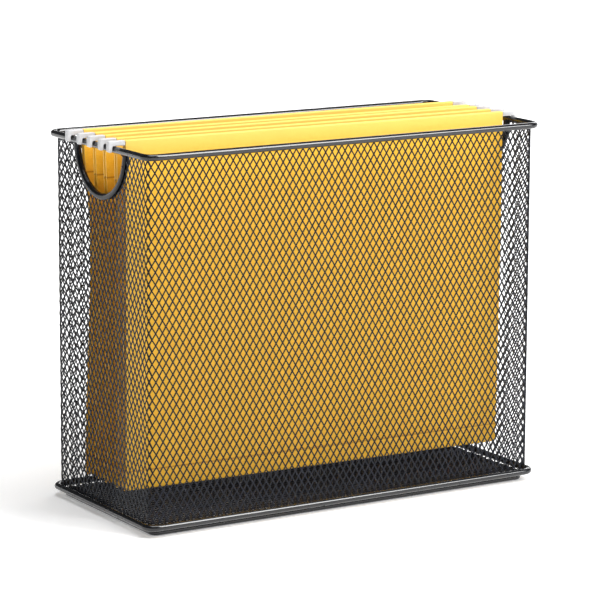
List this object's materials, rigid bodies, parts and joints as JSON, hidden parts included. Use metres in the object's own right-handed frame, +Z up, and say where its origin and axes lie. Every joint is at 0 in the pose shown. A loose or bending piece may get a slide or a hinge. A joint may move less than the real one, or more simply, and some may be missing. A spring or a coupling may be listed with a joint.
{
  "type": "desktop hanging file holder",
  "caption": "Rectangular expanded-metal desktop file holder with round wire rims, a finger cutout in each end and hanging card folders that slide along its end rails.",
  "frame": {"origin": "middle of the footprint, on the surface that the foot ring rests on", "axes": "+X along the long front, +Y from the front panel to the rear panel, +Z up"},
  "size_m": [0.326, 0.145, 0.2647],
  "materials": {
    "rim_steel": "semi-gloss black powder coat",
    "mesh_steel": "satin black powder coat on expanded metal",
    "folder_card": "smooth dyed yellow card",
    "rod_steel": "plain zinc-plated strip",
    "hook_plastic": "white moulded nylon"
  },
  "bodies": {
    "holder": {"top_rim": "rim_steel", "base_rim": "rim_steel", "foot_ring": "rim_steel", "front_mesh_panel": "mesh_steel", "rear_mesh_panel": "mesh_steel", "left_end_mesh_panel": "mesh_steel", "right_end_mesh_panel": "mesh_steel", "base_mesh_panel": "mesh_steel", "left_cutout_trim": "rim_steel", "right_cutout_trim": "rim_steel"},
    "folder_1": {"folder_1_card": "folder_card", "folder_1_front_rod": "rod_steel", "folder_1_rear_rod": "rod_steel", "folder_1_front_left_hook": "hook_plastic", "folder_1_front_right_hook": "hook_plastic", "folder_1_rear_left_hook": "hook_plastic", "folder_1_rear_right_hook": "hook_plastic"},
    "folder_2": {"folder_2_card": "folder_card", "folder_2_front_rod": "rod_steel", "folder_2_rear_rod": "rod_steel", "folder_2_front_left_hook": "hook_plastic", "folder_2_front_right_hook": "hook_plastic", "folder_2_rear_left_hook": "hook_plastic", "folder_2_rear_right_hook": "hook_plastic"},
    "folder_3": {"folder_3_card": "folder_card", "folder_3_front_rod": "rod_steel", "folder_3_rear_rod": "rod_steel", "folder_3_front_left_hook": "hook_plastic", "folder_3_front_right_hook": "hook_plastic", "folder_3_rear_left_hook": "hook_plastic", "folder_3_rear_right_hook": "hook_plastic"},
    "folder_4": {"folder_4_card": "folder_card", "folder_4_front_rod": "rod_steel", "folder_4_rear_rod": "rod_steel", "folder_4_front_left_hook": "hook_plastic", "folder_4_front_right_hook": "hook_plastic", "folder_4_rear_left_hook": "hook_plastic", "folder_4_rear_right_hook": "hook_plastic"},
    "folder_5": {"folder_5_card": "folder_card", "folder_5_front_rod": "rod_steel", "folder_5_rear_rod": "rod_steel", "folder_5_front_left_hook": "hook_plastic", "folder_5_front_right_hook": "hook_plastic", "folder_5_rear_left_hook": "hook_plastic", "folder_5_rear_right_hook": "hook_plastic"}
  },
  "joints": [
    {"name": "folder_1_slide", "type": "slide", "parent": "holder", "child": "folder_1", "axis": [0, 1, 0], "range_m": [-0.022, 0.0025]},
    {"name": "folder_2_slide", "type": "slide", "parent": "holder", "child": "folder_2", "axis": [0, 1, 0], "range_m": [-0.0025, 0.0038]},
    {"name": "folder_3_slide", "type": "slide", "parent": "holder", "child": "folder_3", "axis": [0, 1, 0], "range_m": [-0.0038, 0.0012]},
    {"name": "folder_4_slide", "type": "slide", "parent": "holder", "child": "folder_4", "axis": [0, 1, 0], "range_m": [-0.0012, 0.0015]},
    {"name": "folder_5_slide", "type": "slide", "parent": "holder", "child": "folder_5", "axis": [0, 1, 0], "range_m": [-0.002, 0.02]}
  ]
}
